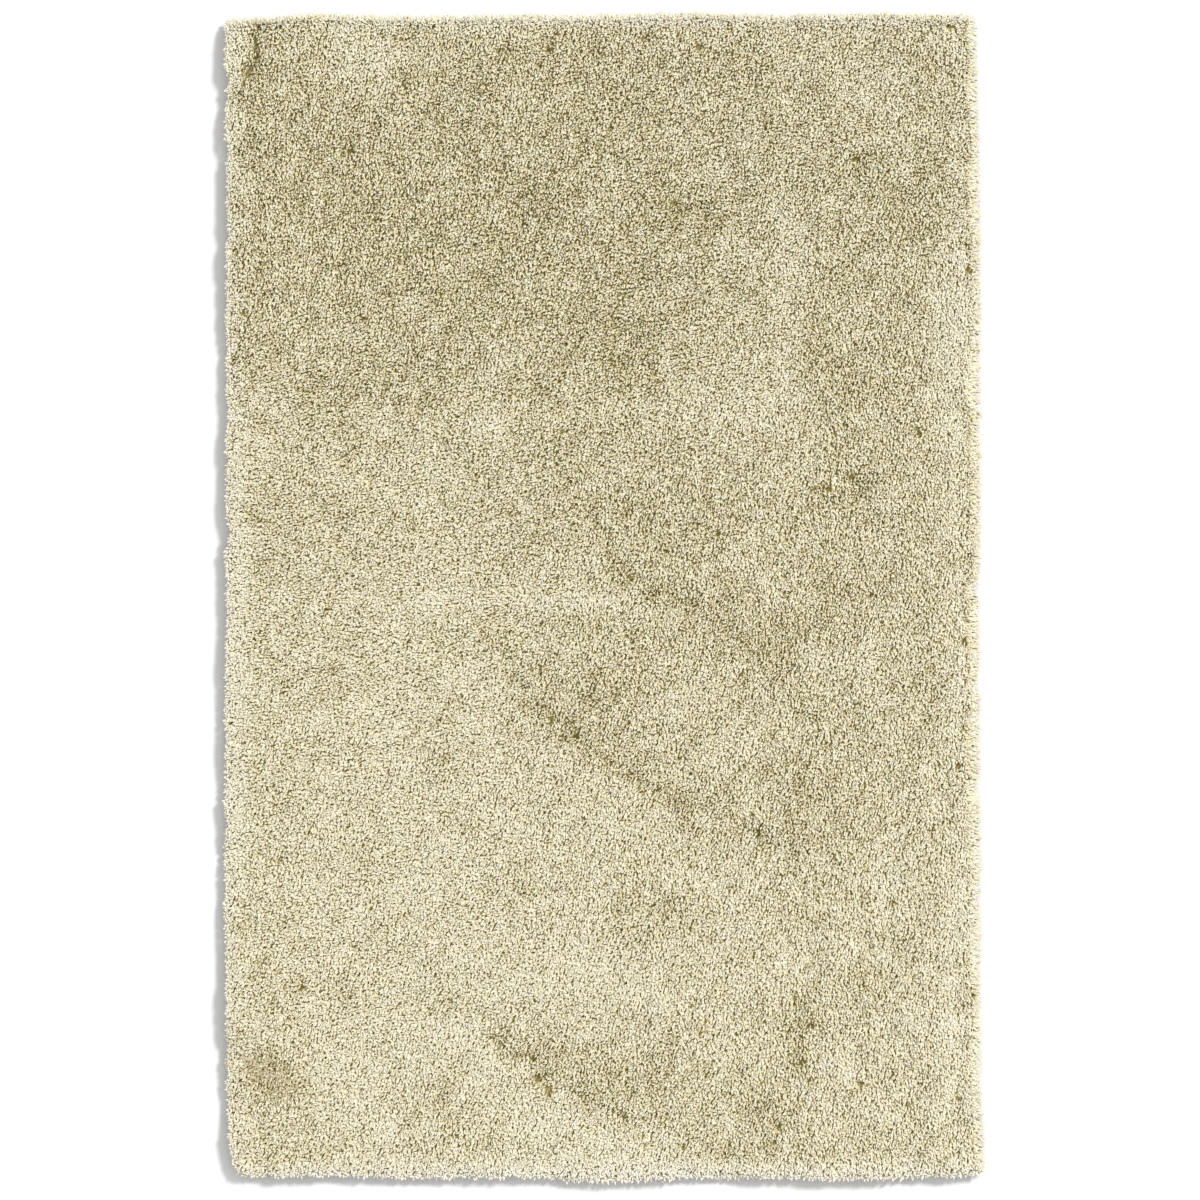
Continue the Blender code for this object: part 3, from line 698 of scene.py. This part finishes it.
def openAt(x, y, parting):  # how far a parting stands open there
    widest, steady = parting["open"]
    return widest * np.clip(steady + 2.4 * noiseAt(x, y, mottle["partingWidth"], 8.2), 0, 1)


def wavering(x, y):  # places moved a little, so that an open parting's edges aren't straight
    wave = 0.006 * noiseAt(x, y, 0.045, 5.7)
    return x + wave, y + wave


pitSpread = 1.3  # how wide a pit's shade is, in its charted radii


def pitAt(x, y):  # from about 1 in the middle of a wide pit to 0 away from it
    depth = np.zeros_like(x)
    for radius, places in pits.items():
        size = pitSpread * radius / 1000
        deepest = min(1.2, 0.25 * radius - 0.75)
        for cx, cy in places:
            stepX, stepY = x - cx / 1000, y - cy / 1000
            near = (np.abs(stepX) < 2 * size) & (np.abs(stepY) < 2 * size)
            away = np.hypot(stepX[near], stepY[near]) / size
            depth[near] = np.maximum(depth[near], deepest * np.exp(-(away**2)))
    return depth


def strandMesh(name, roots, bends, tips, radius, tone, rootLight):
    # a strand is a leaf: it grows from a point at its root, is widest at its bend and ends in a point
    count = len(roots)
    rise, ahead = bends - roots, tips - bends
    rise /= np.linalg.norm(rise, axis=1, keepdims=True)
    ahead /= np.linalg.norm(ahead, axis=1, keepdims=True)
    way = rise + ahead
    way /= np.linalg.norm(way, axis=1, keepdims=True)
    across = np.stack([-way[:, 1], way[:, 0], np.full(count, 1e-6)], axis=1)
    across /= np.linalg.norm(across, axis=1, keepdims=True)
    upright = np.cross(way, across)
    roll = chance.normal(0, 0.4, count)[:, None]
    aside = np.cos(roll) * across + np.sin(roll) * upright
    turned = np.sum(np.cross(aside, bends - roots) * (tips - roots), axis=1) < 0
    aside[turned] *= -1
    wide = radius[:, None] * aside
    places = np.stack([roots, bends + wide, bends - wide, tips], axis=1)
    outward = np.stack([-rise, aside, -aside, ahead], axis=1)
    normals = outward * (1 - yarnLook["softness"]) + np.array([0, 0, yarnLook["softness"]])
    normals /= np.linalg.norm(normals, axis=2, keepdims=True)

    # corners of its four faces, and where each corner lies on the map, across and along the strand
    faces = np.array([(0, 2, 1), (3, 1, 2), (0, 1, 3), (0, 3, 2)])
    sides = np.array([0.5, 0, 1, 0.5])[faces.ravel()]
    bend = np.full(count, yarnLook["bend"])
    alongs = np.stack([rootLight, bend, bend, 0 * bend + 0.98], axis=1)[:, faces.ravel()]
    width = yarnLook["strandWidth"]
    spots = np.empty((count, 12, 2))
    spots[:, :, 0] = tone[:, None] * (1 - width) + sides * width
    spots[:, :, 1] = alongs
    corners = np.arange(count)[:, None] * 4 + faces.ravel()

    mesh = bpy.data.meshes.new(name)
    mesh.vertices.add(count * 4)
    mesh.vertices.foreach_set("co", places.astype(np.float32).ravel())
    mesh.loops.add(count * 12)
    mesh.loops.foreach_set("vertex_index", corners.astype(np.int32).ravel())
    mesh.polygons.add(count * 4)
    mesh.polygons.foreach_set("loop_start", np.arange(0, count * 12, 3, dtype=np.int32))
    mesh.uv_layers.new(name="OFBake").data.foreach_set("uv", spots.astype(np.float32).ravel())
    mesh.update(calc_edges=True)
    mesh.shade_smooth()
    custom = mesh.attributes.new("custom_normal", "FLOAT_VECTOR", "POINT")
    custom.data.foreach_set("vector", normals.astype(np.float32).ravel())
    mesh.update()
    mesh.materials.append(yarn)
    piece = bpy.data.objects.new(name, mesh)
    bpy.context.scene.collection.objects.link(piece)
    return piece


def onRug(piece):
    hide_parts("shag_pile")
    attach(piece, "root")


# a strand's place across the map's ramp, which starts with the pale grey and the stained yarn; on the cream
# part it follows the painted light and shade of shadeAt
toning = {
    "middle": 0.735,
    "perLevel": 0.0043,
    "spread": 0.085,
    "darkest": 0.17,
    "stained": (0.052, 0.118),
    "stainedMiddle": 0.085,
    "stainedSpread": 0.0165,
    "paleGrey": 0.012,
}


def toneOf(shade, stained, paleGrey):  # the last two are shares of the strands
    unevenness = chance.normal(0, toning["spread"], len(shade)) * between(calm["spread"], calmOf(shade))
    # painted light and shade: the tone follows shadeAt's levels
    tone = np.clip(toning["middle"] + toning["perLevel"] * shade + unevenness, toning["darkest"], 1.0)
    brown = chance.uniform(0, 1, len(shade)) < stained
    browns = chance.normal(toning["stainedMiddle"], toning["stainedSpread"], brown.sum())
    tone[brown] = np.clip(browns, *toning["stained"])
    tone[chance.uniform(0, 1, len(shade)) < paleGrey] = toning["paleGrey"]
    return tone


def tipPlaces():  # staggered rows of tips over the whole rug, thinned out past its outline
    gap = pile["spacing"]
    rows = np.arange(-1.20, 1.20, gap * math.sqrt(3) / 2)
    x, y = np.meshgrid(np.arange(-0.78, 0.78, gap), rows)
    x = x + gap / 2 * (np.arange(len(rows)) % 2)[:, None]
    x = (x + chance.uniform(-pile["jitter"], pile["jitter"], x.shape) * gap).ravel()
    y = (y + chance.uniform(-pile["jitter"], pile["jitter"], y.shape) * gap).ravel()
    inset, outX, outY = insetAt(x, y)
    keep = inset > chance.uniform(-1, 0.7, len(x)) * sideShare(outX, outY, rimReach)
    x, y = x[keep], y[keep]
    for parting in partings:
        if "open" in parting:
            away = awayFrom(*wavering(x, y), parting["line"])[0]
            keep = away > openAt(x, y, parting)
            x, y = x[keep], y[keep]
    return x, y


def leanOf(x, y, smooth):  # how far each tip lies from over its root
    inset, outX, outY = insetAt(x, y)
    fall = sideShare(outX, outY, rimFall) * (1 + 0.5 * noiseAt(x, y, 0.07, 3.6))
    settled = np.clip((inset - 0.3 * fall) / (0.7 * fall), 0.2, 1)
    turn = pile["swirl"] * noiseAt(x, y, 0.06, 2.2) + chance.normal(0, pile["turnSpread"], len(x))
    nap = napAt(x, y) + np.radians(turn)
    length = settled * np.clip(chance.normal(pile["lean"], pile["leanSpread"], len(x)), *pile["leanRange"])
    length *= between(calm["lean"], smooth)

    # the tips lie along the nap, but round the rim they fall outwards
    fan = chance.normal(0, pile["fan"], len(x))
    out = np.maximum(fall - inset, 0) * chance.uniform(0.7, 1.0, len(x))
    leanX = out * (outX - outY * fan) - length * np.cos(nap)
    leanY = out * (outY + outX * fan) - length * np.sin(nap)
    for parting in partings:
        if "open" in parting:
            leanX, leanY = partedLean(x, y, leanX, leanY, parting)
    return leanX, leanY


def partedLean(x, y, leanX, leanY, parting):  # no strand crosses a parting where it stands open
    gap = openAt(x, y, parting)
    wavyX, wavyY = wavering(x, y)
    away, stepX, stepY = awayFrom(wavyX, wavyY, parting["line"])
    _, rootStepX, rootStepY = awayFrom(wavyX - leanX, wavyY - leanY, parting["line"])
    crosses = (gap > 0.001) & (stepX * rootStepX + stepY * rootStepY < 0)
    share = np.clip(1 - gap / np.maximum(away, 0.001), 0, 1)
    return np.where(crosses, share * stepX, leanX), np.where(crosses, share * stepY, leanY)


def makePile():
    x, y = tipPlaces()
    count = len(x)
    inset, outX, outY = insetAt(x, y)
    inset = np.maximum(inset, 0)
    # painted light and shade, with the rim's own near the outline
    shade = shadeAt(x, y) + sideShare(outX, outY, rimLightAndShade) * np.exp(-inset / pile["rimShadingWidth"])
    smooth = calmOf(shade)
    leanX, leanY = leanOf(x, y, smooth)

    rootX, rootY = pushedIn(x - leanX, y - leanY, rootInset)
    leanX, leanY = x - rootX, y - rootY
    drop = chance.uniform(0, 1, count) ** 1.8 * pile["tipDrop"] * between(calm["drop"], smooth)
    tipZ = np.maximum(tipSurface(x, y) - drop, pile["least"])
    bendX = rootX + pile["bend"] * leanX + chance.normal(0, pile["curl"], count)
    bendY = rootY + pile["bend"] * leanY + chance.normal(0, pile["curl"], count)
    bendDrop = np.interp(np.hypot(leanX, leanY), (0.011, 0.022), pile["bendDrop"])
    rootZ = groundTop(rootX, rootY) - pile["rootDepth"]
    bendZ = np.maximum(tipSurface(bendX, bendY) - bendDrop - 0.6 * drop, rootZ + pile["least"])
    roots = np.stack([rootX, rootY, rootZ], axis=1)
    bends = np.stack([bendX, bendY, bendZ], axis=1)
    tips = np.stack([x, y, tipZ], axis=1)
    radius = pile["radius"] + chance.normal(0, pile["radiusSpread"], count)
    radius *= between(calm["radius"], smooth)
    # how much painted root shade each strand has: less where the pile looks light
    light = between(calm["rootLight"], smooth)
    paleGrey = sideShare(outX, outY, rimPaleGrey) * np.exp(-((inset / pile["paleGreyWidth"]) ** 2))
    tone = toneOf(shade, bells(x, y, stains), paleGrey)

    # no strand lies across a pit
    across = np.maximum(pitAt(x, y), pitAt(bendX, bendY))
    across = np.maximum(across, pitAt((x + bendX) / 2, (y + bendY) / 2))
    keep = across < chance.uniform(0.45, 0.95, count)
    y, strands = y[keep], [values[keep] for values in (roots, bends, tips, radius, tone, light)]
    edges = np.quantile(y, np.linspace(0, 1, pile["bands"] + 1))
    for band in range(pile["bands"]):
        here = (y >= edges[band]) & ((y < edges[band + 1]) | (band == pile["bands"] - 1))
        onRug(strandMesh(f"pileBand{band + 1}", *(values[here] for values in strands)))
        print("pile band", band + 1, "has", int(here.sum()), "strands")


def roundTheRim(spacing, inset):  # places at one inset all round, found from the plain rectangle
    width, length = rug["width"], rug["length"]
    count = int(2 * (width + length) / spacing)
    walk = (np.arange(count) + chance.uniform(-0.4, 0.4, count)) % count * 2 * (width + length) / count
    turns = [walk < width, walk < width + length, walk < 2 * width + length]
    x = np.select(turns, [walk - width / 2, width / 2 + 0 * walk, 1.5 * width + length - walk], -width / 2)
    y = np.select(turns, [length / 2 + 0 * walk, length / 2 + width - walk, -length / 2 + 0 * walk],
                  walk - 2 * width - 1.5 * length)
    for _ in range(6):
        depth, outX, outY = insetAt(x, y)
        x, y = x + (depth - inset) * outX, y + (depth - inset) * outY
    return x, y


def makeRim():
    roots, bends, tips, tone = [], [], [], []
    for tipInset, tipHeight in rim["rows"]:
        x, y = roundTheRim(rim["spacing"], rootInset)
        count = len(x)
        _, outX, outY = insetAt(x, y)
        fan = chance.normal(0, rim["fan"], count)
        wayX, wayY = outX - outY * fan, outY + outX * fan
        reach = (rootInset - tipInset) * chance.uniform(*rim["reach"], count)
        reach += sideShare(outX, outY, rimReach) * chance.uniform(0, rim["stray"], count)
        height = tipHeight + chance.uniform(*rim["unevenTop"], count)
        rootZ = np.minimum(height + rim["rootRise"], rim["rootTop"])
        bendZ = 0.6 * rootZ + 0.4 * height + 0.0015
        roots.append(np.stack([x, y, rootZ], axis=1))
        bends.append(np.stack([x + 0.5 * reach * wayX, y + 0.5 * reach * wayY, bendZ], axis=1))
        tips.append(np.stack([x + reach * wayX, y + reach * wayY, height], axis=1))
        paleGrey = sideShare(outX, outY, rimPaleGrey)
        # painted light and shade of the rim's side and half of the pile's
        tone.append(toneOf(sideShare(outX, outY, rimLightAndShade) + 0.5 * shadeAt(x, y), 0 * x, paleGrey))
    roots, bends, tips = np.concatenate(roots), np.concatenate(bends), np.concatenate(tips)
    radius = rim["radius"] + chance.normal(0, rim["radiusSpread"], len(roots))
    rootLight = np.full(len(roots), rim["rootLight"])
    onRug(strandMesh("rimPile", roots, bends, tips, radius, np.concatenate(tone), rootLight))
    print("rim has", len(roots), "strands")


def planOf(mesh):  # x and y of its points
    places = np.empty(len(mesh.vertices) * 3, np.float32)
    mesh.vertices.foreach_get("co", places)
    return places[::3].astype(float), places[1::3].astype(float)


def fittedGrid(name, across, along, inset):  # a flat grid drawn to the rug's outline
    bpy.ops.object.select_all(action="DESELECT")
    bpy.ops.mesh.primitive_grid_add(x_subdivisions=across, y_subdivisions=along, size=1)
    piece = bpy.context.active_object
    piece.name = piece.data.name = name
    u, v = planOf(piece.data)
    left, right, bottom, top = edgesAt(u * (rug["width"] - 2 * inset), v * (rug["length"] - 2 * inset))
    x = left + inset + (u + 0.5) * (right - left - 2 * inset)
    y = bottom + inset + (v + 0.5) * (top - bottom - 2 * inset)
    x, y = pushedIn(x, y, inset)
    return piece, x, y


def setPlaces(mesh, x, y, z):
    mesh.vertices.foreach_set("co", np.stack([x, y, z], axis=1).astype(np.float32).ravel())
    mesh.update()


def makeGround():
    piece, x, y = fittedGrid("pileGround", ground["across"], ground["along"], ground["inset"])
    mesh = piece.data
    setPlaces(mesh, x, y, groundTop(x, y))
    bpy.ops.object.mode_set(mode="EDIT")
    bpy.ops.mesh.select_mode(type="EDGE")
    bpy.ops.mesh.select_all(action="DESELECT")
    bpy.ops.mesh.select_non_manifold()
    bpy.ops.mesh.extrude_edges_move(TRANSFORM_OT_translate={"value": (0, 0, 0)})
    bpy.ops.object.mode_set(mode="OBJECT")
    for vertex in mesh.vertices:
        if vertex.select:
            vertex.co.z = ground["foot"]
    bpy.ops.object.mode_set(mode="EDIT")
    bpy.ops.mesh.edge_face_add()
    bpy.ops.mesh.select_all(action="SELECT")
    bpy.ops.mesh.normals_make_consistent(inside=False)
    bpy.ops.object.mode_set(mode="OBJECT")
    mesh.shade_smooth()
    # painted shade of the lower pile, following the pile's painted light and shade
    paintedShade = between(calm["groundPaintedShade"], calmOf(shadeAt(*planOf(mesh))))
    mesh.attributes.new("paintedShade", "FLOAT", "POINT").data.foreach_set("value", paintedShade.astype(np.float32))
    mesh.materials.append(deepPileShade)
    onRug(piece)


backing = {"inset": 0.016, "low": 0.0002, "high": 0.0018, "across": 30, "along": 46}


def makeBacking():
    piece, x, y = fittedGrid("backingCloth", backing["across"], backing["along"], backing["inset"])
    setPlaces(piece.data, x, y, np.full_like(x, backing["high"]))
    solid = piece.modifiers.new("thickness", "SOLIDIFY")
    solid.thickness = backing["high"] - backing["low"]
    solid.offset = -1
    bpy.ops.object.modifier_apply(modifier=solid.name)
    piece.data.materials.append(backingWeave)
    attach(piece, "root")


makeGround()
print("ground made")
makePile()
makeRim()
makeBacking()
print("backing made")

studio = {
    "floor": 0.88,
    "sky": 0.73,
    "sun": 2.72,
    "sunAngle": 13,
    "sunWay": (0.022, 0.018),  # towards the light, in plan
    "sunHeight": 42,
    "lens": 150,
    "viewWidth": 2.4,
    "lookAt": (-0.004, -0.008, 0.030),
}


def makeStudio():
    bpy.ops.object.select_all(action="DESELECT")
    bpy.ops.mesh.primitive_plane_add(size=40, location=(0, 0, 0))
    floor = bpy.context.active_object
    floor.name = "studioFloor"
    material, nodes, links, shader = newMaterial("paleFloor")
    shader.inputs["Base Color"].default_value = (*[studio["floor"]] * 3, 1)
    shader.inputs["Roughness"].default_value = 0.9
    shader.inputs["Specular IOR Level"].default_value = 0.0
    floor.data.materials.append(material)

    world = bpy.data.worlds.new("studioSky")
    bpy.context.scene.world = world
    world.use_nodes = True
    world.node_tree.nodes["Background"].inputs["Color"].default_value = (1, 1, 1, 1)
    world.node_tree.nodes["Background"].inputs["Strength"].default_value = studio["sky"]

    light = bpy.data.lights.new("keyLight", "SUN")
    light.energy = studio["sun"]
    light.angle = math.radians(studio["sunAngle"])
    key = bpy.data.objects.new("keyLight", light)
    bpy.context.scene.collection.objects.link(key)
    flat = Vector((*studio["sunWay"], 0)).normalized()
    high = math.radians(studio["sunHeight"])
    towards = flat * math.cos(high) + Vector((0, 0, math.sin(high)))
    key.rotation_euler = towards.to_track_quat("Z", "Y").to_euler()

    camera = bpy.data.cameras.new("camera")
    camera.lens = studio["lens"]
    camera.sensor_width = 36
    eye = bpy.data.objects.new("camera", camera)
    bpy.context.scene.collection.objects.link(eye)
    away = studio["viewWidth"] * studio["lens"] / camera.sensor_width
    eye.location = Vector(studio["lookAt"]) + Vector((0, 0, away))
    camera.clip_end = 100
    bpy.context.scene.camera = eye
    bpy.context.scene.view_settings.view_transform = "Standard"


makeStudio()
